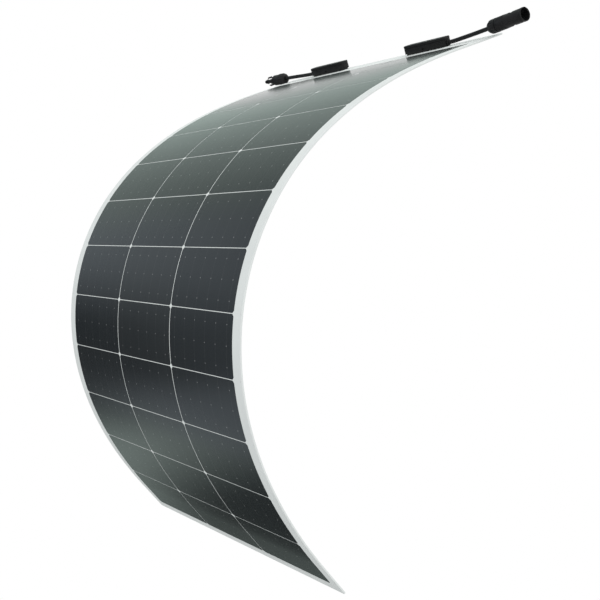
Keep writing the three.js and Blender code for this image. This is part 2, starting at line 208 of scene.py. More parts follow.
def make_cable(name, points, node):
    """A free cable through its route's points, which are in row 1's frame"""
    curve = bpy.data.curves.new(name, "CURVE")
    curve.dimensions = "3D"
    curve.resolution_u = 6
    curve.bevel_depth = 1.0
    curve.bevel_resolution = 5
    curve.use_fill_caps = True
    spline = curve.splines.new("BEZIER")
    spline.bezier_points.add(len(points) - 1)
    for handle, point in zip(spline.bezier_points, points):
        handle.radius = CABLE_DIAMETER / 2
        handle.co = ROW_1_FRAME @ point
        handle.handle_left_type = "AUTO"
        handle.handle_right_type = "AUTO"
    cable = bpy.data.objects.new(name, curve)
    bpy.context.scene.collection.objects.link(cable)
    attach(cable, "row_01")
    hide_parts(node)
    return cable


def connector_frame(side, rise, cable_end):
    """The frame of a connector that starts at a cable's end and points along its own +Z"""
    direction = Vector((side * math.cos(rise), 0, math.sin(rise)))
    place = Matrix.Translation(cable_end + direction * CLEARANCE)
    return ROW_1_FRAME @ place @ Matrix.Rotation(side * (math.pi / 2 - rise), 4, "Y")


PLUG_POINTS = route_points(PLUG_CABLE_ROUTE, -1, cable_exit(-1, BOX_CENTRES_X["left"]))
COUPLER_POINTS = route_points(COUPLER_CABLE_ROUTE, 1, cable_exit(1, BOX_CENTRES_X["right"]))
PLUG_FRAME = connector_frame(-1, PLUG_RISE, PLUG_POINTS[-1])
COUPLER_FRAME = connector_frame(1, COUPLER_RISE, COUPLER_POINTS[-1])

plug_cord = make_cable("plug_cord", PLUG_POINTS, "plug_cable")
coupler_cord = make_cable("coupler_cord", COUPLER_POINTS, "coupler_cable")

# ---- Node helpers ----


NOISE_SPAN = (0.3, 0.7)


def new_material(name, color, roughness, metallic=0.0, specular=0.5):
    made = bpy.data.materials.new(name)
    made.use_nodes = True
    shader = made.node_tree.nodes["Principled BSDF"]
    shader.inputs["Base Color"].default_value = (*color, 1)
    shader.inputs["Roughness"].default_value = roughness
    shader.inputs["Metallic"].default_value = metallic
    shader.inputs["Specular IOR Level"].default_value = specular
    return made, made.node_tree, shader


def feed(tree, socket, value):
    if isinstance(value, bpy.types.NodeSocket):
        tree.links.new(value, socket)
    else:
        socket.default_value = value


def calculate(tree, operation, *values):
    node = tree.nodes.new("ShaderNodeMath")
    node.operation = operation
    for socket, value in zip(node.inputs, values):
        feed(tree, socket, value)
    return node.outputs[0]


def add(tree, first, second):
    return calculate(tree, "ADD", first, second)


def multiply(tree, first, second):
    return calculate(tree, "MULTIPLY", first, second)


def mix(tree, data_type, share, first, second):
    """first where share is 0, second where it is 1"""
    node = tree.nodes.new("ShaderNodeMix")
    node.data_type = data_type
    feed(tree, node.inputs["Factor"], share)
    feed(tree, node.inputs["A"], first)
    feed(tree, node.inputs["B"], second)
    return node.outputs["Result"]


def mix_colors(tree, share, first, second):
    return mix(tree, "RGBA", share, first, second)


def noise(tree, scale, detail=2.0, roughness=0.5, place=None):
    node = tree.nodes.new("ShaderNodeTexNoise")
    node.inputs["Scale"].default_value = scale
    node.inputs["Detail"].default_value = detail
    node.inputs["Roughness"].default_value = roughness
    feed(tree, node.inputs["Vector"], place or object_place(tree))
    return node.outputs["Fac"]


def object_place(tree):
    return tree.nodes.new("ShaderNodeTexCoord").outputs["Object"]


def spread(tree, value, low, high, to_low, to_high, interpolation="LINEAR"):
    """value's range low..high carried to to_low..to_high, held at the ends"""
    node = tree.nodes.new("ShaderNodeMapRange")
    node.interpolation_type = interpolation
    feed(tree, node.inputs["Value"], value)
    for name, number in zip(("From Min", "From Max", "To Min", "To Max"), (low, high, to_low, to_high)):
        node.inputs[name].default_value = number
    return node.outputs["Result"]


def mottle(tree, low, high, scale, detail, roughness, place=None):
    """Noise with its middle range carried to low..high"""
    return spread(tree, noise(tree, scale, detail, roughness, place), *NOISE_SPAN, low, high)


def bump(tree, shader, height, distance, strength=1.0, socket="Normal"):
    node = tree.nodes.new("ShaderNodeBump")
    node.inputs["Strength"].default_value = strength
    node.inputs["Distance"].default_value = distance
    feed(tree, node.inputs["Height"], height)
    feed(tree, shader.inputs[socket], node.outputs["Normal"])


def flat_place(tree):
    """x and flat distance on the laid-flat sheet, from its UV map"""
    uv = tree.nodes.new("ShaderNodeUVMap")
    uv.uv_map = "flat"
    split = tree.nodes.new("ShaderNodeSeparateXYZ")
    tree.links.new(uv.outputs["UV"], split.inputs["Vector"])
    return uv.outputs["UV"], split.outputs["X"], split.outputs["Y"]


def near(tree, distance, half_width, softness):
    """1 where a distance is inside half_width, falling to 0 over softness"""
    return spread(tree, distance, half_width, half_width + softness, 1, 0)


# ---- Materials ----

PADS_ACROSS = 6
PAD_PITCH = CELL_WIDTH / PADS_ACROSS
PAD_HALF_WIDTH = 0.0006
PAD_HALF_HEIGHT = 0.0005
PAD_SOFTNESS = 0.0003
WIRE_HALF_WIDTH = 0.0001
WIRE_SOFTNESS = 0.0001
FINGER_PITCH = 0.0014
FINGER_HALF_WIDTH = 0.00003
FINGER_SOFTNESS = 0.00006
CROSSING_HALF_WIDTH = 0.00025
CROSSING_HALF_LENGTH = 0.0012
CROSSING_SOFTNESS = 0.0002
# With this step every cell of the sheet has a number of its own
ROW_SHADE_STEP = 7.31
SILICON_DARK = (0.009, 0.0115, 0.0135, 1)
SILICON_PALE = (0.016, 0.0185, 0.0195, 1)
FINGER_SILVER = (0.10, 0.105, 0.11, 1)
WIRE_SILVER = (0.25, 0.255, 0.26, 1)
PAD_SILVER = (0.33, 0.34, 0.34, 1)
CROSSING_SILVER = (0.52, 0.53, 0.52, 1)
FINGER_SHOWS = 0.25
WIRE_SHOWS = 0.15
PAD_SHOWS = 0.6
FRONT_WHITES = ((0.66, 0.69, 0.68, 1), (0.71, 0.74, 0.73, 1))
BACK_WHITES = ((0.75, 0.765, 0.755, 1), (0.8, 0.81, 0.8, 1))
WEAVE_PITCH = 0.0016
WEAVE_GAIN = 600
PRINT_HALF_WIDTH = 0.001
PRINT_SOFTNESS = 0.002
PRINT_DEPTH = 0.7
FILM_IOR = 1.42
FILM_ROUGHNESS = 0.17
BORDER_FILM_ROUGHNESS = 0.35
BORDER_FILM_WEIGHT = 0.1
UNDER_FILM_SPECULAR = 0.05
PLASTIC_SPECULAR = 0.2
DUST_LIFT = 0.004
RUBBED_EDGES = (0.52, 0.6)
FOAM_PORE_SCALE = 2400


def wrapped(tree, value, pitch):
    """value less whole pitches, so that it stays within half a pitch of 0"""
    return calculate(tree, "WRAP", value, pitch / 2, -pitch / 2)


def to_nearest_line(tree, value, pitch, offset):
    """Distance to the nearest of the lines at offset + any whole number of pitches"""
    shifted = calculate(tree, "SUBTRACT", value, offset)
    return calculate(tree, "ABSOLUTE", wrapped(tree, shifted, pitch))


def line_number(tree, value, pitch, start):
    """How many whole pitches value is past -start"""
    return calculate(tree, "FLOOR", calculate(tree, "DIVIDE", add(tree, value, start), pitch))


def glossy_film(shader, roughness):
    shader.inputs["Coat Weight"].default_value = 1.0
    shader.inputs["Coat Roughness"].default_value = roughness
    shader.inputs["Coat IOR"].default_value = FILM_IOR


def cell_material():
    """Dark anti-reflective silicon under clear film, with its fine grid, wires and solder pads"""
    made, tree, shader = new_material(
        "solar_cell", (0.012, 0.014, 0.016), 0.45, specular=UNDER_FILM_SPECULAR
    )
    uv, x, flat = flat_place(tree)
    cell_x = wrapped(tree, x, COLUMN_PITCH)
    cell_y = wrapped(tree, flat, ROW_PITCH)
    to_wire = to_nearest_line(tree, cell_x, PAD_PITCH, PAD_PITCH / 2)
    to_pad_row = to_nearest_line(tree, cell_y, PAD_PITCH, 0)
    to_finger = to_nearest_line(tree, cell_y, FINGER_PITCH, FINGER_PITCH / 2)
    wire = near(tree, to_wire, WIRE_HALF_WIDTH, WIRE_SOFTNESS)
    finger = near(tree, to_finger, FINGER_HALF_WIDTH, FINGER_SOFTNESS)
    pad_across = near(tree, to_wire, PAD_HALF_WIDTH, PAD_SOFTNESS)
    pad = multiply(tree, pad_across, near(tree, to_pad_row, PAD_HALF_HEIGHT, PAD_SOFTNESS))
    column = line_number(tree, x, COLUMN_PITCH, COLUMNS / 2 * COLUMN_PITCH)
    row = line_number(tree, flat, ROW_PITCH, ROW_PITCH / 2)
    shade = tree.nodes.new("ShaderNodeTexWhiteNoise")
    shade.noise_dimensions = "1D"
    feed(tree, shade.inputs["W"], add(tree, column, multiply(tree, row, ROW_SHADE_STEP)))
    cell_tone = spread(tree, shade.outputs["Value"], 0, 1, 0, 0.7)
    tone = add(tree, cell_tone, mottle(tree, 0, 0.3, 9, 3, 0.6, uv))
    silicon = mix_colors(tree, tone, SILICON_DARK, SILICON_PALE)
    lined = mix_colors(tree, multiply(tree, finger, FINGER_SHOWS), silicon, FINGER_SILVER)
    wired = mix_colors(tree, multiply(tree, wire, WIRE_SHOWS), lined, WIRE_SILVER)
    padded = mix_colors(tree, multiply(tree, pad, PAD_SHOWS), wired, PAD_SILVER)
    feed(tree, shader.inputs["Base Color"], padded)
    glossy_film(shader, FILM_ROUGHNESS)
    bump(tree, shader, noise(tree, 60, 2, 0.5, uv), 0.00012, 0.35, "Coat Normal")
    return made


def front_material():
    """White sheet seen through the clear film, with the thin wires that cross from row to row"""
    made, tree, shader = new_material(
        "white_front", (0.7, 0.73, 0.72), 0.5, specular=UNDER_FILM_SPECULAR
    )
    uv, x, flat = flat_place(tree)
    cell_x = wrapped(tree, x, COLUMN_PITCH)
    to_wire = to_nearest_line(tree, cell_x, PAD_PITCH, PAD_PITCH / 2)
    to_gap = to_nearest_line(tree, flat, ROW_PITCH, ROW_PITCH / 2)
    beside_first_row = calculate(tree, "GREATER_THAN", flat, 0)
    before_last_row = calculate(tree, "LESS_THAN", flat, (ROWS - 1) * ROW_PITCH)
    between_rows = multiply(tree, beside_first_row, before_last_row)
    across = near(tree, to_wire, CROSSING_HALF_WIDTH, WIRE_SOFTNESS)
    crossing = multiply(tree, across, near(tree, to_gap, CROSSING_HALF_LENGTH, CROSSING_SOFTNESS))
    wire = multiply(tree, crossing, between_rows)
    white = mix_colors(tree, mottle(tree, 0, 1, 14, 4, 0.6, uv), *FRONT_WHITES)
    feed(tree, shader.inputs["Base Color"], mix_colors(tree, wire, white, CROSSING_SILVER))
    glossy_film(shader, BORDER_FILM_ROUGHNESS)
    shader.inputs["Coat Weight"].default_value = BORDER_FILM_WEIGHT
    bump(tree, shader, noise(tree, 120, 3, 0.55, uv), 0.0001, 0.2, "Coat Normal")
    return made


def back_material():
    """Satin white back sheet with the fine plain weave of its glass fibre showing through"""
    made, tree, shader = new_material("white_back", (0.78, 0.79, 0.78), 0.42)
    uv, x, flat = flat_place(tree)
    warp = to_nearest_line(tree, x, WEAVE_PITCH, 0)
    weft = to_nearest_line(tree, flat, WEAVE_PITCH, 0)
    weave = multiply(tree, add(tree, warp, weft), WEAVE_GAIN)
    to_column_gap = to_nearest_line(tree, x, COLUMN_PITCH, COLUMN_PITCH / 2)
    to_row_gap = to_nearest_line(tree, flat, ROW_PITCH, ROW_PITCH / 2)
    gap_print = calculate(
        tree,
        "MAXIMUM",
        near(tree, to_column_gap, PRINT_HALF_WIDTH, PRINT_SOFTNESS),
        near(tree, to_row_gap, PRINT_HALF_WIDTH, PRINT_SOFTNESS),
    )
    height = calculate(tree, "SUBTRACT", weave, multiply(tree, gap_print, PRINT_DEPTH))
    bump(tree, shader, height, 0.00008, 0.5)
    white = mix_colors(tree, mottle(tree, 0, 1, 11, 4, 0.6, uv), *BACK_WHITES)
    feed(tree, shader.inputs["Base Color"], white)
    feed(tree, shader.inputs["Roughness"], mottle(tree, 0.36, 0.5, 40, 3, 0.5, uv))
    return made


def plastic_material(name, color, worn_color, roughness, grain):
    """Moulded black plastic: fine spark grain, uneven sheen and rubbed edges"""
    made, tree, shader = new_material(name, color, roughness, specular=PLASTIC_SPECULAR)
    geometry = tree.nodes.new("ShaderNodeNewGeometry")
    edge = spread(tree, geometry.outputs["Pointiness"], *RUBBED_EDGES, 0, 1)
    rub = multiply(tree, edge, spread(tree, noise(tree, 420, 4, 0.6), 0.45, 0.65, 0, 0.6))
    shade = calculate(tree, "MAXIMUM", rub, mottle(tree, 0, 0.35, 90, 3, 0.6))
    feed(tree, shader.inputs["Base Color"], mix_colors(tree, shade, (*color, 1), (*worn_color, 1)))
    low, high = roughness - 0.07, roughness + 0.07
    feed(tree, shader.inputs["Roughness"], mottle(tree, low, high, 160, 4, 0.6))
    bump(tree, shader, noise(tree, grain, 2, 0.5), 0.00006, 0.5)
    return made


def rubber_material(name, color, roughness):
    """Matt black rubber or epoxy with a little dust on it"""
    made, tree, shader = new_material(name, color, roughness, specular=PLASTIC_SPECULAR)
    dust = spread(tree, noise(tree, 260, 4, 0.65), 0.45, 0.7, 0, 1)
    paler = tuple(2 * channel + DUST_LIFT for channel in color)
    feed(tree, shader.inputs["Base Color"], mix_colors(tree, dust, (*color, 1), (*paler, 1)))
    low, high = roughness - 0.08, roughness + 0.08
    feed(tree, shader.inputs["Roughness"], mottle(tree, low, high, 120, 3, 0.5))
    bump(tree, shader, noise(tree, 1500, 2, 0.5), 0.00005, 0.4)
    return made


def foam_material():
    """Closed-cell foam tape: tiny open pores at its cut edge, with painted shade in their hollows"""
    made, tree, shader = new_material("foam_tape", (0.02, 0.02, 0.02), 0.85)
    pores = tree.nodes.new("ShaderNodeTexVoronoi")
    pores.inputs["Scale"].default_value = FOAM_PORE_SCALE
    tree.links.new(object_place(tree), pores.inputs["Vector"])
    depth = spread(tree, pores.outputs["Distance"], 0, 0.6, 0, 1)
    # Painted shade: the colour darkens towards each pore's middle, where its hollow sinks deepest
    foam = mix_colors(tree, depth, (0.01, 0.01, 0.01, 1), (0.035, 0.035, 0.036, 1))
    feed(tree, shader.inputs["Base Color"], foam)
    bump(tree, shader, depth, 0.0001, 0.7)
    return made


def tinned_copper_material():
    """Drawn metal with faint streaks"""
    made, tree, shader = new_material("tinned_copper", (0.72, 0.7, 0.65), 0.3, 1.0)
    streak = mottle(tree, 0, 1, 350, 5, 0.6)
    metal = mix_colors(tree, streak, (0.66, 0.63, 0.57, 1), (0.78, 0.77, 0.73, 1))
    feed(tree, shader.inputs["Base Color"], metal)
    feed(tree, shader.inputs["Roughness"], mottle(tree, 0.22, 0.42, 500, 3, 0.5))
    return made


CELL = cell_material()
WHITE_FRONT = front_material()
WHITE_BACK = back_material()
BOX_PLASTIC = plastic_material("box_plastic", (0.0042, 0.0043, 0.0046), (0.017, 0.017, 0.018), 0.38, 1800)
CONNECTOR_PLASTIC = plastic_material(
    "connector_plastic", (0.0045, 0.0045, 0.005), (0.019, 0.019, 0.02), 0.42, 2200
)
CABLE_JACKET = rubber_material("cable_jacket", (0.0045, 0.0045, 0.005), 0.5)
SEAL_RUBBER = rubber_material("seal_rubber", (0.01, 0.01, 0.01), 0.65)
DIODE_EPOXY = rubber_material("diode_epoxy", (0.012, 0.012, 0.013), 0.55)
FOAM_TAPE = foam_material()
TINNED_COPPER = tinned_copper_material()

for cord in (plug_cord, coupler_cord):
    cord.data.materials.append(CABLE_JACKET)

# ---- Meshes ----


def add_piece(name, points, faces, materials, body=None):
    mesh = bpy.data.meshes.new(name)
    mesh.from_pydata([tuple(point) for point in points], [], faces)
    for finish in materials:
        mesh.materials.append(finish)
    piece = bpy.data.objects.new(name, mesh)
    bpy.context.scene.collection.objects.link(piece)
    if body:
        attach(piece, body)
    return piece


def tube_faces(rings, count):
    """The faces between rings of count points each, then one across each end"""
    faces = []
    for ring in range(rings - 1):
        first = ring * count
        for k in range(count):
            after = (k + 1) % count
            faces.append((first + k, first + after, first + count + after, first + count + k))
    faces.append(tuple(range(count)))
    faces.append(tuple(reversed(range((rings - 1) * count, rings * count))))
    return faces


def smooth_by_angle(piece, degrees=32):
    mesh = piece.data
    mesh.polygons.foreach_set("use_smooth", [True] * len(mesh.polygons))
    mesh.set_sharp_from_angle(angle=math.radians(degrees))


def face_outwards(mesh):
    work = bmesh.new()
    work.from_mesh(mesh)
    bmesh.ops.recalc_face_normals(work, faces=work.faces)
    work.to_mesh(mesh)
    work.free()


# ---- The laminate and its cells ----

ARC_STEPS = 3
SECTION_STEPS = 12
SHEET_EDGE_RADIUS = 0.0006
SHEET_CORNER_RADIUS = 0.0025
CELL_EDGE_RADIUS = 0.0001
CELL_SPREAD_IN_COLUMN = 0.0005
CELL_SPREAD_IN_ROW = 0.0003
CELL_CORNER_CUT = 0.0032
CELL_FOOT = SHEET_THICKNESS - 0.0003
CELL_TOP = SHEET_THICKNESS + 0.0001


def rounded_ring(left, right, low, high, radius, share=1.0, steps=ARC_STEPS):
    """Round a rectangle with rounded corners: (x, height, outward x, outward height). share below 1
    draws the corners in, for the rounded end of a strip"""
    ring = []
    corners = (
        (right - radius, high - radius, 0),
        (left + radius, high - radius, 90),
        (left + radius, low + radius, 180),
        (right - radius, low + radius, 270),
    )
    for x, height, first in corners:
        for step in range(steps + 1):
            turn = math.radians(first + 90 * step / steps)
            out_x, out_height = math.cos(turn), math.sin(turn)
            reach = radius * share
            ring.append((x + reach * out_x, height + reach * out_height, out_x, out_height))
    return ring


def strip_body(stations, low, high, radius):
    """Points, normals, flat places and faces of one strip, and which faces are its back. A station is
    (flat, left, right, tilt), where tilt turns the surface towards the strip's end"""
    points, normals, places = [], [], []
    for flat, left, right, tilt in stations:
        end_reach = radius * math.sin(tilt)
        for x, height, out_x, out_height in rounded_ring(left, right, low, high, radius, math.cos(tilt)):
            there = flat + end_reach
            _, angle = sheet_place(there)
            points.append(on_sheet(x, there, height))
            side = Vector((out_x, 0, 0)) + out_of(angle) * out_height
            normals.append((side * math.cos(tilt) - along(angle) * math.sin(tilt)).normalized())
            places.append((x, there))
    count = 4 * (ARC_STEPS + 1)
    back_face = 3 * (ARC_STEPS + 1) - 1
    faces = tube_faces(len(stations), count)
    backs = [len(face) == 4 and index % count == back_face for index, face in enumerate(faces)]
    return points, normals, places, faces, backs


def end_stations(end, inner, left, right, corner, corner_steps, inset, direction):
    """Stations from inner to end: straight, then the plan corners, then the rounded end edge"""
    stations = [(inner, left, right, 0)]
    for step in range(corner_steps + 1):
        turn = math.pi / 2 * step / corner_steps
        narrower = corner * (1 - math.cos(turn))
        there = end - direction * (inset + corner * (1 - math.sin(turn)))
        stations.append((there, left + narrower, right - narrower, 0))
    for step in range(1, ARC_STEPS + 1):
        tilt = direction * math.pi / 2 * step / ARC_STEPS
        stations.append((end - direction * inset, left + corner, right - corner, tilt))
    return stations


def add_strips(name, strips, materials):
    """One piece made of strips, each (stations, low, high, radius), with smooth true normals"""
    points, normals, places, faces, backs = [], [], [], [], []
    for stations, low, high, radius in strips:
        some = strip_body(stations, low, high, radius)
        first = len(points)
        points += some[0]
        normals += some[1]
        places += some[2]
        faces += [tuple(first + index for index in face) for face in some[3]]
        backs += some[4]
    piece = add_piece(name, points, faces, materials)
    mesh = piece.data
    if len(materials) > 1:
        mesh.polygons.foreach_set("material_index", [int(back) for back in backs])
    face_outwards(mesh)
    layer = mesh.uv_layers.new(name="flat")
    for loop in mesh.loops:
        layer.data[loop.index].uv = places[loop.vertex_index]
    mesh.polygons.foreach_set("use_smooth", [True] * len(mesh.polygons))
    mesh.normals_split_custom_set_from_vertices(normals)
    return piece


def sheet_section(start, end):
    """Stations of the laminate between two flat distances, with a rounded edge where the sheet ends"""
    half = HALF_SHEET_WIDTH
    corner = SHEET_CORNER_RADIUS
    inset = SHEET_EDGE_RADIUS
    if start == BOX_END:
        return list(reversed(end_stations(BOX_END, end, -half, half, corner, 4, inset, -1)))
    if end == FREE_END:
        return end_stations(FREE_END, start, -half, half, corner, 4, inset, 1)
    step = (end - start) / SECTION_STEPS
    return [(start + step * k, -half, half, 0) for k in range(SECTION_STEPS + 1)]


def half_cells(middle, direction):
    """Stations of the three half cells from a row's middle towards its edge, with their cut corners.
    The dark edge spreads a little into the gap, so that the white line between two cells is thin"""
    strips = []
    half_height = CELL_HEIGHT / 2 + CELL_SPREAD_IN_COLUMN
    half_width = CELL_WIDTH / 2 + CELL_SPREAD_IN_ROW
    plain = half_height - CELL_CORNER_CUT
    steps = SECTION_STEPS // 2
    for column in range(COLUMNS):
        centre = (column - (COLUMNS - 1) / 2) * COLUMN_PITCH
        left = centre - half_width
        right = centre + half_width
        stations = [(middle + direction * plain * k / steps, left, right, 0) for k in range(steps + 1)]
        edge = middle + direction * (half_height - CELL_EDGE_RADIUS)
        narrow = (left + CELL_CORNER_CUT, right - CELL_CORNER_CUT)
        stations.append((edge, *narrow, 0))
        stations.append((edge, *narrow, direction * math.pi / 2))
        if direction < 0:
            stations.reverse()
        strips.append((stations, CELL_FOOT, CELL_TOP, CELL_EDGE_RADIUS))
    return strips


def make_sheet_pieces(label, start, end, rows, cells):
    sheet = add_strips(
        "sheet_" + label,
        [(sheet_section(start, end), 0, SHEET_THICKNESS, SHEET_EDGE_RADIUS)],
        (WHITE_FRONT, WHITE_BACK),
    )
    panel = add_strips("cells_" + label, cells, (CELL,))
    for piece, slot, kinds in (
        (sheet, "back_sheet", ("back_sheet", "front_film")),
        (panel, "solar_cells", ("cells",)),
    ):
        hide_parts(*(f"{kind}_row_{row:02d}" for kind in kinds for row in rows))
        if len(rows) == 1:
            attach(piece, f"row_{rows[0]:02d}")
        else:
            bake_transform(piece)


def make_laminate():
    """Each bend between two row middles is its own section"""
    last_middle = (ROWS - 1) * ROW_PITCH
    make_sheet_pieces("box_end", BOX_END, 0, [1], half_cells(0, -1))
    for gap in range(1, ROWS):
        start = (gap - 1) * ROW_PITCH
        end = gap * ROW_PITCH
        cells = half_cells(start, 1) + half_cells(end, -1)
        make_sheet_pieces(f"bend_{gap:02d}", start, end, [gap, gap + 1], cells)
    make_sheet_pieces("free_end", last_middle, FREE_END, [ROWS], half_cells(last_middle, 1))


make_laminate()

# ---- Turned and stacked shapes ----

SMALLEST_CORNER = 0.0004
CORNER_STEPS = 8
ON_AXIS = 1e-6


def rounded_profile(profile, radius, steps=3):
    """A list of (r, z) points with its corners rounded, apart from those on the axis"""
    made = []
    count = len(profile)
    closed = profile[0] == profile[-1]
    last = count - 1 if closed else count
    for k in range(last):
        here = Vector(profile[k])
        if not closed and k in (0, count - 1):
            made.append(tuple(here))
            continue
        before = Vector(profile[(k - 1) % last]) - here
        after = Vector(profile[(k + 1) % last]) - here
        reach = min(radius, before.length * 0.45, after.length * 0.45)
        start = here + before.normalized() * reach
        end = here + after.normalized() * reach
        for step in range(steps + 1):
            t = step / steps
            made.append(tuple(start * (1 - t) ** 2 + here * (2 * t * (1 - t)) + end * t**2))
    if closed:
        made.append(made[0])
    return made


def turned_piece(name, profile, place, finish, body, sides=48, ripple=None):
    """A turned body about place's +Z axis. ripple(r, z, turn) gives the radius there"""
    points, faces, rings = [], [], []
    closed = profile[0] == profile[-1]
    for r, z in profile[:-1] if closed else profile:
        first = len(points)
        if r < ON_AXIS:
            points.append(place @ Vector((0, 0, z)))
            rings.append([first] * sides)
            continue
        for k in range(sides):
            turn = 2 * math.pi * k / sides
            radius = ripple(r, z, turn) if ripple else r
            points.append(place @ Vector((radius * math.cos(turn), radius * math.sin(turn), z)))
        rings.append(list(range(first, first + sides)))
    if closed:
        rings.append(rings[0])
    for low, high in zip(rings, rings[1:]):
        for k in range(sides):
            after = (k + 1) % sides
            corners = (low[k], low[after], high[after], high[k])
            faces.append(tuple(dict.fromkeys(corners)))
    piece = add_piece(name, points, faces, (finish,), body)
    face_outwards(piece.data)
    smooth_by_angle(piece)
    return piece


def stacked_piece(name, centre, size, corner, levels, finish, body):
    """A body through a stack of rounded rectangles, each (height, inset), in row 1's frame"""
    length, depth = size
    points = []
    for height, inset in levels:
        tightened = max(corner - inset, SMALLEST_CORNER)
        half_length = length / 2 - inset
        half_depth = depth / 2 - inset
        ring = rounded_ring(-half_length, half_length, -half_depth, half_depth, tightened, 1, CORNER_STEPS)
        for x, y, _, _ in ring:
            points.append(ROW_1_FRAME @ Vector((centre[0] + x, centre[1] + y, height)))
    faces = tube_faces(len(levels), len(points) // len(levels))
    piece = add_piece(name, points, faces, (finish,), body)
    face_outwards(piece.data)
    return piece


def fillet(height, inset, radius, direction, steps=4):
    """Levels of a rounded edge that ends at height: direction 1 closes upwards, -1 opens upwards"""
    levels = []
    for step in range(steps + 1):
        turn = math.pi / 2 * step / steps
        if direction > 0:
            levels.append((height - radius * (1 - math.sin(turn)), inset + radius * (1 - math.cos(turn))))
        else:
            levels.append((height + radius * (1 - math.cos(turn)), inset + radius * (1 - math.sin(turn))))
    return levels


def carve(piece, cutter):
    """Takes a cutter's solid out of a piece"""
    tool = piece.modifiers.new("carve", "BOOLEAN")
    tool.operation = "DIFFERENCE"
    tool.solver = "EXACT"
    tool.object = cutter
    bpy.context.view_layer.update()
    graph = bpy.context.evaluated_depsgraph_get()
    carved = bpy.data.meshes.new_from_object(piece.evaluated_get(graph))
    piece.modifiers.remove(tool)
    piece.data = carved
    bpy.data.objects.remove(cutter)


def block_cutter(place, low, high):
    corners = [Vector(corner) for corner in itertools.product(*zip(low, high))]
    faces = [(0, 1, 3, 2), (4, 6, 7, 5), (0, 4, 5, 1), (2, 3, 7, 6), (0, 2, 6, 4), (1, 5, 7, 3)]
    cutter = add_piece("cutter", [place @ corner for corner in corners], faces, ())
    face_outwards(cutter.data)
    return cutter


# ---- Junction boxes ----

CLIP_POCKET_HALF = (0.0021, 0.0013)
CLIP_POCKET_HEIGHT = 0.0073
CLIP_POCKET_DEPTH = 0.0012
CLIP_POCKET_OVERCUT = 0.001
FOOT_ROUND = 0.0005
SEAM_EASE_HEIGHT = 0.0003
SEAM_EASE_INSETS = (0.0001, 0.0004)
LIP_HEIGHT = 0.0015
LID_ROUND = 0.0014
LID_PANEL_BORDER = 0.0032
LID_PANEL_DEPTH = 0.0004
LID_PANEL_SLOPE = 0.0004
COLLAR_RIBS = 3
COLLAR_PLAIN_SHARE = 0.3
COLLAR_RIB_SHARE = 0.6
COLLAR_RIB_DEPTH = 0.00035
COLLAR_EASE = 0.0001


def make_box(label, side):
    centre = (BOX_CENTRES_X[label], BOX_LINE)
    size = (BOX_LENGTH, BOX_DEPTH)
    name = label + "_box_"
    seam_outer, seam_inner = SEAM_EASE_INSETS
    tray_levels = [
        *fillet(HOUSING_BACK, 0, FOOT_ROUND, -1),
        (HOUSING_FRONT - SEAM_EASE_HEIGHT, seam_outer),
        (HOUSING_FRONT, seam_inner),
        (HOUSING_FRONT, BOX_WALL),
        (HOUSING_BACK + BOX_FLOOR, BOX_WALL),
    ]
    tray = stacked_piece(name + "tray", centre, size, BOX_CORNER, tray_levels, BOX_PLASTIC, "row_01")
    half_length, half_height = CLIP_POCKET_HALF
    for face in (-1, 1):
        outer = BOX_LINE + face * (BOX_DEPTH / 2 + CLIP_POCKET_OVERCUT)
        inner = BOX_LINE + face * (BOX_DEPTH / 2 - CLIP_POCKET_DEPTH)
        low = (centre[0] - half_length, min(outer, inner), CLIP_POCKET_HEIGHT - half_height)
        high = (centre[0] + half_length, max(outer, inner), CLIP_POCKET_HEIGHT + half_height)
        carve(tray, block_cutter(ROW_1_FRAME, low, high))
    smooth_by_angle(tray)
    lip_inset = BOX_WALL + CLEARANCE
    lid_levels = [
        (HOUSING_FRONT - LIP_HEIGHT, lip_inset),
        (LID_BACK, lip_inset),
        (LID_BACK, seam_inner),
        (LID_BACK + SEAM_EASE_HEIGHT, seam_outer),
        *fillet(LID_FRONT, 0, LID_ROUND, 1, 6),
        (LID_FRONT, LID_PANEL_BORDER),
        (LID_FRONT - LID_PANEL_DEPTH, LID_PANEL_BORDER + LID_PANEL_SLOPE),
    ]
    cover = stacked_piece(name + "cover", centre, size, BOX_CORNER, lid_levels, BOX_PLASTIC, "row_01")
    smooth_by_angle(cover)
    tape_levels = [(PAD_BACK - CLEARANCE, 0), (PAD_FRONT + CLEARANCE, 0)]
    tape_size = (BOX_LENGTH - 2 * PAD_INSET, BOX_DEPTH - 2 * PAD_INSET)
    tape = stacked_piece(
        name + "tape", centre, tape_size, BOX_CORNER - PAD_INSET, tape_levels, FOAM_TAPE, "row_01"
    )
    smooth_by_angle(tape)
    collar = make_collar(name + "collar", side, centre[0])
    for piece, node, slot in (
        (tray, "housing", "box_plastic"),
        (collar, "housing", "box_plastic"),
        (cover, "lid", "box_plastic"),
        (tape, "adhesive_pad", "adhesive_foam"),
    ):
        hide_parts(name + node)


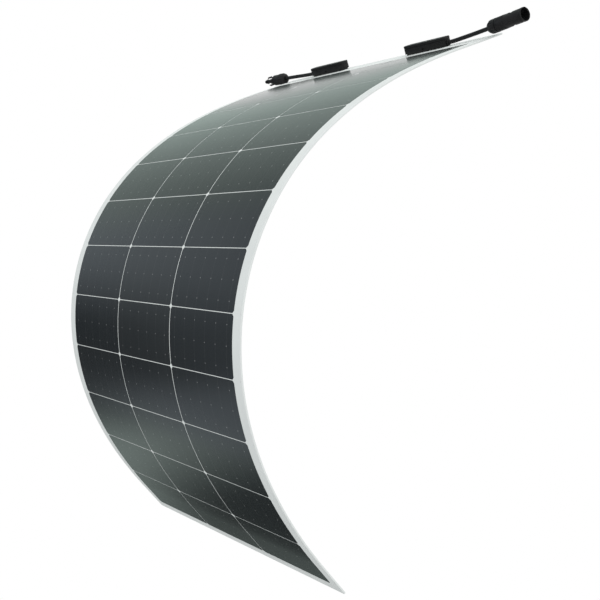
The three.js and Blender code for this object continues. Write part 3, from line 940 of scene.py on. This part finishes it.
def make_collar(name, side, centre_x):
    """The short ribbed sleeve that the cable leaves the box through"""
    start = BOX_LENGTH / 2 - BOX_WALL / 2
    base = Vector((centre_x + side * start, BOX_LINE, CABLE_EXIT_HEIGHT))
    place = ROW_1_FRAME @ Matrix.Translation(base) @ Matrix.Rotation(side * math.pi / 2, 4, "Y")
    length = BOX_WALL / 2 + COLLAR_LENGTH + 2 * CLEARANCE
    bore = CABLE_DIAMETER / 2 + COLLAR_EASE
    groove = COLLAR_RADIUS - COLLAR_RIB_DEPTH
    profile = [(bore, 0), (COLLAR_RADIUS, 0)]
    ribbed = length * (1 - COLLAR_PLAIN_SHARE)
    for rib in range(COLLAR_RIBS):
        foot = length - ribbed * (1 - rib / COLLAR_RIBS)
        top = foot + ribbed * COLLAR_RIB_SHARE / COLLAR_RIBS
        profile += [
            (COLLAR_RADIUS, foot),
            (COLLAR_RADIUS - COLLAR_EASE * rib, top),
            (groove, top + COLLAR_EASE),
            (groove, foot + ribbed / COLLAR_RIBS),
        ]
    profile += [(bore, length), (bore, 0)]
    rounded = rounded_profile(profile, COLLAR_EASE, 2)
    return turned_piece(name, rounded, place, BOX_PLASTIC, "row_01", 32)


make_box("left", -1)
make_box("right", 1)

# ---- Connectors ----

NUT_LENGTH = 0.018
NUT_RADIUS = 0.0107
NUT_FACE = 0.004
NUT_THREAD_RADIUS = 0.0079
NUT_CABLE_RADIUS = 0.0034
# The nut's outside from its cable end on: how far it is under its full radius, and how far along.
# The last three places carry the flutes
NUT_SHOULDER = [(0.0047, 0), (0.0021, 0.0032), (0.0006, 0.0058), (0, 0.0085), (0, 0.011), (0, 0.0142)]
NUT_SIDES = 144
THREAD_RADIUS = 0.0075
THREAD_START = NUT_FACE + CLEARANCE
BODY_START = NUT_LENGTH + CLEARANCE
BODY_SIDES = 72
FLUTES = 12
FLUTE_DEPTH = 0.0009
FLUTE_END = NUT_LENGTH - 0.0028
FLUTE_RUN_OUT = 0.002
FLUTE_LOWEST_RADIUS = NUT_THREAD_RADIUS + 0.0002
FLUTE_TAPER = 0.0015
EDGE_ROUND = 0.0006


def nut_ripple(r, z, turn):
    """Finger flutes along the nut's outside, which run out before its front edge"""
    from_front = min(1, max(0, (FLUTE_END - z) / FLUTE_RUN_OUT))
    from_taper = min(1, max(0, (r - FLUTE_LOWEST_RADIUS) / FLUTE_TAPER))
    wave = 0.5 + 0.5 * math.cos(FLUTES * turn)
    return r - FLUTE_DEPTH * from_front * from_taper * wave**3


def turned_plastic(name, profile, rounding, place, body, sides, ripple):
    rounded = rounded_profile(profile, rounding)
    return turned_piece(name, rounded, place, CONNECTOR_PLASTIC, body, sides, ripple)


def make_nut(name, place, body, node):
    profile = [
        (NUT_CABLE_RADIUS, 0),
        *((NUT_RADIUS - drop, z) for drop, z in NUT_SHOULDER),
        (NUT_RADIUS, NUT_LENGTH),
        (NUT_THREAD_RADIUS, NUT_LENGTH),
        (NUT_THREAD_RADIUS, NUT_FACE),
        (NUT_CABLE_RADIUS, NUT_FACE),
        (NUT_CABLE_RADIUS, 0),
    ]
    nut = turned_plastic(name, profile, EDGE_ROUND, place, body, NUT_SIDES, nut_ripple)
    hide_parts(node)
    return nut


COUPLER_LENGTH = 0.0715
COUPLER_WINDOW = (0.008, 0.008)
COUPLER_WINDOW_CENTRE = 0.048
COUPLER_BORE_RADIUS = 0.0087
COUPLER_MOUTH_CHAMFER = (0.0006, 0.0016)
COUPLER_LIP_START = 0.067
GROOVE_DEPTH = 0.0005
GROOVE_START = COUPLER_LIP_START - 0.0008
GROOVE_FLOOR = COUPLER_LIP_START - 0.0004
LIP_EDGE = COUPLER_LIP_START + 0.0006
NECK_RADIUS = 0.0102
RING_RADIUS = 0.011
RING_FLATS_RADIUS = 0.0104
RING_FLATS = 6
SLEEVE_RADIUS = 0.0102
LIP_RADIUS = 0.0104
COUPLER_BORE_START = 0.031
RING_START = 0.022
RING_END = 0.0355
RING_MARGIN = 0.0001


def ring_ripple(r, z, turn):
    """Flats round the coupler's ring, for a spanner"""
    inside = RING_START - RING_MARGIN < z < RING_END + RING_MARGIN and r > NECK_RADIUS
    if not inside:
        return r
    sector = 2 * math.pi / RING_FLATS
    from_flat = (turn + sector / 2) % sector - sector / 2
    return min(r, RING_FLATS_RADIUS / math.cos(from_flat))


def make_coupler():
    chamfer_depth, chamfer_length = COUPLER_MOUTH_CHAMFER
    profile = [
        (0, THREAD_START),
        (THREAD_RADIUS, THREAD_START),
        (THREAD_RADIUS, BODY_START),
        (NECK_RADIUS, BODY_START),
        (NECK_RADIUS, RING_START),
        (RING_RADIUS, RING_START),
        (RING_RADIUS, RING_END),
        (SLEEVE_RADIUS, RING_END),
        (SLEEVE_RADIUS, GROOVE_START),
        (SLEEVE_RADIUS - GROOVE_DEPTH, GROOVE_FLOOR),
        (LIP_RADIUS, LIP_EDGE),
        (LIP_RADIUS, COUPLER_LENGTH),
        (COUPLER_BORE_RADIUS + chamfer_depth, COUPLER_LENGTH),
        (COUPLER_BORE_RADIUS, COUPLER_LENGTH - chamfer_length),
        (COUPLER_BORE_RADIUS, COUPLER_BORE_START),
        (0, COUPLER_BORE_START),
    ]
    sleeve = turned_plastic(
        "coupler_sleeve", profile, EDGE_ROUND, COUPLER_FRAME, "row_01", BODY_SIDES, ring_ripple
    )
    length, width = COUPLER_WINDOW
    low = (-RING_RADIUS, -width / 2, COUPLER_WINDOW_CENTRE - length / 2)
    high = (RING_RADIUS, width / 2, COUPLER_WINDOW_CENTRE + length / 2)
    carve(sleeve, block_cutter(COUPLER_FRAME, low, high))
    smooth_by_angle(sleeve)
    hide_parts("coupler_body")
    return sleeve


NOSE_RADIUS = 0.0035
NOSE_END = 0.069
NOSE_TIP_CHAMFER = (0.0004, 0.002)
SOCKET_BORE_RADIUS = 0.0026
SOCKET_BORE_START = 0.046
PLUG_BARREL_RADIUS = 0.0098
PLUG_BARREL_END = 0.036
PLUG_GUIDE_RADIUS = 0.0078
PLUG_GUIDE_HALF_HEIGHT = 0.0048
PLUG_GUIDE_END = 0.045
PLUG_BARREL_GRIP = (0.0225, 0.034)
GRIP_EASE = 0.0004
GRIP_DEPTH = 0.0005
# Stations of the guide from inside the barrel to its front edge: place, and share of its full section
PLUG_GUIDE_STATIONS = (
    (PLUG_BARREL_END - 0.001, 1.0),
    (PLUG_GUIDE_END - 0.0008, 1.0),
    (PLUG_GUIDE_END - 0.0002, 0.95),
    (PLUG_GUIDE_END, 0.88),
)
PLUG_GUIDE_STEPS = 10
ARM_START = PLUG_BARREL_END + CLEARANCE
ARM_LENGTH = 0.0192
ARM_WIDTH = 0.008
ARM_INNER_RADIUS = 0.0059
ARM_THICKNESS = 0.0018
ARM_HOOK = 0.0013
ARM_HOOK_LENGTH = 0.005
ARM_HOOK_FACE = 0.001
ARM_ROOT_LENGTH = 0.006
ARM_WAIST = 0.0004
ARM_WAIST_END = 0.002
ARM_TIP_DROP = 0.0002
ARM_EDGE_EASE = 0.00025
SEAL_PLACE = 0.062
SEAL_SECTION = 0.0005
SEAL_STEPS = 16


def barrel_ripple(r, z, turn):
    """Shallow grip flats on the two sides of the plug's barrel"""
    grip_start, grip_end = PLUG_BARREL_GRIP
    if r < PLUG_BARREL_RADIUS - GRIP_EASE or not grip_start < z < grip_end:
        return r
    return min(r, (PLUG_BARREL_RADIUS - GRIP_DEPTH) / max(abs(math.sin(turn)), 0.01))


def make_plug_barrel():
    grip_edges = [edge + side * GRIP_EASE for edge in PLUG_BARREL_GRIP for side in (-1, 1)]
    chamfer_depth, chamfer_length = NOSE_TIP_CHAMFER
    profile = [
        (0, THREAD_START),
        (THREAD_RADIUS, THREAD_START),
        (THREAD_RADIUS, BODY_START),
        (PLUG_BARREL_RADIUS, BODY_START),
        *((PLUG_BARREL_RADIUS, edge) for edge in grip_edges),
        (PLUG_BARREL_RADIUS, PLUG_BARREL_END),
        (NOSE_RADIUS, PLUG_BARREL_END),
        (NOSE_RADIUS, NOSE_END - chamfer_length),
        (NOSE_RADIUS - chamfer_depth, NOSE_END),
        (SOCKET_BORE_RADIUS, NOSE_END),
        (SOCKET_BORE_RADIUS, SOCKET_BORE_START),
        (0, SOCKET_BORE_START),
    ]
    barrel = turned_plastic(
        "plug_barrel", profile, EDGE_ROUND / 2, PLUG_FRAME, "row_01", BODY_SIDES, barrel_ripple
    )
    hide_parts("plug_body")
    return barrel


def make_plug_guide():
    """The guide in front of the barrel: round sides, flats under the arms, and a chamfered front edge"""
    half_turn = math.asin(PLUG_GUIDE_HALF_HEIGHT / PLUG_GUIDE_RADIUS)
    outline = []
    for centre in (math.pi / 2, 3 * math.pi / 2):
        for step in range(PLUG_GUIDE_STEPS + 1):
            turn = centre - half_turn + 2 * half_turn * step / PLUG_GUIDE_STEPS
            outline.append((math.cos(turn), math.sin(turn)))
    points = []
    for z, share in PLUG_GUIDE_STATIONS:
        reach = PLUG_GUIDE_RADIUS * share
        points += [PLUG_FRAME @ Vector((x * reach, y * reach, z)) for x, y in outline]
    faces = tube_faces(len(PLUG_GUIDE_STATIONS), len(outline))
    guide = add_piece("plug_guide", points, faces, (CONNECTOR_PLASTIC,), "row_01")
    face_outwards(guide.data)
    smooth_by_angle(guide)
    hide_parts("plug_body")
    return guide


def make_arm(name, sign, body, node):
    """A latch arm: a springy tongue with a sloped hook at its tip, its edges eased"""
    end = ARM_START + ARM_LENGTH
    hook_start = end - ARM_HOOK_LENGTH
    outer = ARM_INNER_RADIUS + ARM_THICKNESS
    outline = [
        (ARM_INNER_RADIUS, ARM_START),
        (outer, ARM_START),
        (outer - ARM_WAIST, ARM_START + ARM_ROOT_LENGTH),
        (outer - ARM_WAIST, hook_start - ARM_WAIST_END),
        (outer, hook_start),
        (outer + ARM_HOOK, hook_start),
        (outer + ARM_HOOK, hook_start + ARM_HOOK_FACE),
        (outer - ARM_TIP_DROP, end),
        (ARM_INNER_RADIUS, end),
    ]
    work = bmesh.new()
    rows = []
    for y in (-ARM_WIDTH / 2, ARM_WIDTH / 2):
        rows.append([work.verts.new(PLUG_FRAME @ Vector((sign * r, y, z))) for r, z in outline])
    for row in rows:
        work.faces.new(row)
    for k in range(len(outline)):
        after = (k + 1) % len(outline)
        work.faces.new((rows[0][k], rows[0][after], rows[1][after], rows[1][k]))
    bmesh.ops.recalc_face_normals(work, faces=work.faces)
    edges = work.edges[:]
    bmesh.ops.bevel(work, geom=edges, offset=ARM_EDGE_EASE, segments=2, affect="EDGES", profile=0.5)
    arm = add_piece(name, [], [], (CONNECTOR_PLASTIC,), body)
    work.to_mesh(arm.data)
    work.free()
    smooth_by_angle(arm, 40)
    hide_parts(node)
    return arm


def make_seal():
    """The round rubber ring near the nose's tip"""
    ring = NOSE_RADIUS + CLEARANCE / 2 + SEAL_SECTION
    profile = []
    for k in range(SEAL_STEPS + 1):
        turn = 2 * math.pi * (k % SEAL_STEPS) / SEAL_STEPS
        profile.append((ring + SEAL_SECTION * math.cos(turn), SEAL_PLACE + SEAL_SECTION * math.sin(turn)))
    seal = turned_piece("plug_seal_ring", profile, PLUG_FRAME, SEAL_RUBBER, "row_01", 48)
    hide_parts("plug_nose_seal")
    return seal


coupler_pieces = [
    make_coupler(),
    make_nut("coupler_fluted_nut", COUPLER_FRAME, "coupler_nut", "coupler_gland_nut"),
    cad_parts["coupler_contact_pin"],
]
plug_pieces = [
    make_plug_barrel(),
    make_plug_guide(),
    make_nut("plug_fluted_nut", PLUG_FRAME, "plug_nut", "plug_gland_nut"),
    make_arm("plug_upper_arm", 1, "latch_arm_upper", "plug_latch_arm_upper"),
    make_arm("plug_lower_arm", -1, "latch_arm_lower", "plug_latch_arm_lower"),
    make_seal(),
    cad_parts["plug_contact_socket"],
]

# ---- CAD nodes that stay ----


def finish_cad_node(node, finish):
    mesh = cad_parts[node].data
    mesh.materials.clear()
    mesh.materials.append(finish)


for box in ("left_box", "right_box"):
    finish_cad_node(box + "_cable_terminal", TINNED_COPPER)
    finish_cad_node(box + "_string_terminal", TINNED_COPPER)
    finish_cad_node(box + "_bypass_diode", DIODE_EPOXY)
for node in ("string_bus_ribbon", "plug_contact_socket", "coupler_contact_pin"):
    finish_cad_node(node, TINNED_COPPER)

# ---- Stage ----

FLOOR_HEIGHT = -1.6
FLOOR_REACH = 30
BACKDROP_RADIUS = 40
ROOM_LIGHT = 1.12
TOP_LIGHT = 0.35
LOW_LIGHT = 0.83
# The spans are coordinates of the direction that is looked in: up (z), across (y) or out (x)
SIDES_BRIGHTEN = (-0.7, 0.3)
TOP_BRIGHTENS = (0.5, 0.9)
# What the sheet mirrors towards -X: a bright upper wall, which glows at its far end, a dark band at its
# foot, and a lit patch low down, which is brighter on the far side (+Y) than on the near one
WALL_BEGINS = (-0.68, -0.5)
UPPER_WALL = 0.67
UPPER_WALL_NEAR_SIDE = 0.49
UPPER_WALL_BRIGHTENS = (-0.25, 0.3)
UPPER_WALL_DIMS_BY = 0.08
UPPER_WALL_DIMS = (0.36, 0.5)
FAR_END_BEGINS = (0.38, 0.46)
WALL_GLOW = 0.45
GLOW_ENDS = (0.26, 0.34)
WALL_FOOT = 0.03
FOOT_ENDS = (-0.12, 0.26)
FOOT_NEAR_SIDE = 0.19
FOOT_NEAR_SIDE_ENDS = (-0.52, -0.40)
FOOT_FAR_SIDE = 0.18
FOOT_FAR_SIDE_BEGINS = (0.2, 0.25)
LIT_PATCH = 0.62
LIT_PATCH_NEAR_SIDE = 0.45
PATCH_BRIGHTENS = (-0.38, -0.02)
PATCH_TOP = (-0.555, -0.435)
PATCH_SLOPE = 0.45
PATCH_LEVEL_FROM = -0.15
PATCH_FOOT = (-0.585, -0.445)
PATCH_FOOT_NEAR_SLOPE = 0.1
PATCH_FOOT_FAR_SLOPE = 0.28
NEAR_SIDE_TINT = (0.88, 1.0, 1.1)
WALL_TINT = (0.91, 1.1, 1.02)
TINT_CHANGES = (-0.32, -0.12)
UNTINTED_ENDS = (0.3, 0.42)


def shine(finish_name, strength):
    """A plain white that gives its own light, so that the stage stays even"""
    made = bpy.data.materials.new(finish_name)
    made.use_nodes = True
    tree = made.node_tree
    tree.nodes.clear()
    light = tree.nodes.new("ShaderNodeEmission")
    light.inputs["Strength"].default_value = strength
    output = tree.nodes.new("ShaderNodeOutputMaterial")
    tree.links.new(light.outputs["Emission"], output.inputs["Surface"])
    return made


def seen_by_camera_only(piece):
    """It shows behind the object, but casts no light, shadow or reflection on it"""
    for ray in ("diffuse", "glossy", "transmission", "volume_scatter", "shadow"):
        setattr(piece, "visible_" + ray, False)


def make_stage():
    reach = FLOOR_REACH
    corners = [(-reach, -reach), (reach, -reach), (reach, reach), (-reach, reach)]
    floor_points = [(x, y, FLOOR_HEIGHT) for x, y in corners]
    seen_by_camera_only(add_piece("floor", floor_points, [(0, 1, 2, 3)], (shine("pale_floor", 1.0),)))
    bpy.ops.mesh.primitive_uv_sphere_add(radius=BACKDROP_RADIUS, segments=48, ring_count=24)
    backdrop = bpy.context.object
    backdrop.name = "backdrop"
    backdrop.data.materials.append(shine("pale_backdrop", 1.0))
    seen_by_camera_only(backdrop)


def smooth_step(tree, value, span, to_low, to_high):
    """As spread over span, but with a soft start and end"""
    return spread(tree, value, *span, to_low, to_high, "SMOOTHSTEP")


def mix_values(tree, share, first, second):
    return mix(tree, "FLOAT", share, first, second)


def leaning(tree, base, value, slant):
    return add(tree, base, multiply(tree, value, slant))


def wall_light(tree, y, z, far_end):
    """The wall without its lit patch: the upper part, blended into the foot"""
    upper = smooth_step(tree, y, UPPER_WALL_BRIGHTENS, UPPER_WALL_NEAR_SIDE, UPPER_WALL)
    dimming = smooth_step(tree, z, UPPER_WALL_DIMS, 0, UPPER_WALL_DIMS_BY)
    glow = multiply(tree, smooth_step(tree, z, GLOW_ENDS, 1, 0), far_end)
    upper_wall = leaning(tree, calculate(tree, "SUBTRACT", upper, dimming), glow, WALL_GLOW)
    near_side = smooth_step(tree, y, FOOT_NEAR_SIDE_ENDS, FOOT_NEAR_SIDE, 0)
    far_side = smooth_step(tree, y, FOOT_FAR_SIDE_BEGINS, 0, FOOT_FAR_SIDE)
    foot = add(tree, add(tree, near_side, far_side), WALL_FOOT)
    above_foot = smooth_step(tree, z, FOOT_ENDS, 0, 1)
    return mix_values(tree, above_foot, foot, upper_wall)


def patch_light(tree, y, z):
    """The lit patch: its top edge slopes on the near side, and its foot has a slope on each side"""
    sloping = calculate(tree, "MINIMUM", y, PATCH_LEVEL_FROM)
    under_top = smooth_step(tree, leaning(tree, z, sloping, PATCH_SLOPE), PATCH_TOP, 1, 0)
    near_foot = leaning(tree, z, calculate(tree, "MINIMUM", y, 0.0), -PATCH_FOOT_NEAR_SLOPE)
    foot = leaning(tree, near_foot, calculate(tree, "MAXIMUM", y, 0.0), -PATCH_FOOT_FAR_SLOPE)
    above_foot = smooth_step(tree, foot, PATCH_FOOT, 0, 1)
    light = smooth_step(tree, y, PATCH_BRIGHTENS, LIT_PATCH_NEAR_SIDE, LIT_PATCH)
    return multiply(tree, multiply(tree, under_top, above_foot), light)


def make_studio():
    """A soft white room all round, with a dimmer wall towards -X, which is what the sheet mirrors"""
    world = bpy.data.worlds.new("studio")
    world.use_nodes = True
    tree = world.node_tree
    split = tree.nodes.new("ShaderNodeSeparateXYZ")
    tree.links.new(tree.nodes.new("ShaderNodeTexCoord").outputs["Generated"], split.inputs["Vector"])
    x, y, z = split.outputs
    sides = smooth_step(tree, z, SIDES_BRIGHTEN, LOW_LIGHT, ROOM_LIGHT)
    room = add(tree, sides, smooth_step(tree, z, TOP_BRIGHTENS, 0, TOP_LIGHT))
    far_end = smooth_step(tree, y, FAR_END_BEGINS, 0, 1)
    mirrored = add(tree, wall_light(tree, y, z, far_end), patch_light(tree, y, z))
    untinted = multiply(tree, smooth_step(tree, z, UNTINTED_ENDS, 1, 0), far_end)
    towards_wall = smooth_step(tree, x, WALL_BEGINS, 1, 0)
    far_share = smooth_step(tree, y, TINT_CHANGES, 0, 1)
    channels = tree.nodes.new("ShaderNodeCombineXYZ")
    for socket, near_tint, far_tint in zip(channels.inputs, NEAR_SIDE_TINT, WALL_TINT):
        along_wall = mix_values(tree, far_share, near_tint, far_tint)
        tinted = multiply(tree, mirrored, mix_values(tree, untinted, along_wall, 1.0))
        tree.links.new(mix_values(tree, towards_wall, room, tinted), socket)
    light = tree.nodes["Background"]
    tree.links.new(channels.outputs["Vector"], light.inputs["Color"])
    light.inputs["Strength"].default_value = 1.0
    bpy.context.scene.world = world
    bpy.context.scene.view_settings.view_transform = "Standard"


make_stage()
make_studio()

# ---- The end ----

bpy.context.view_layer.update()
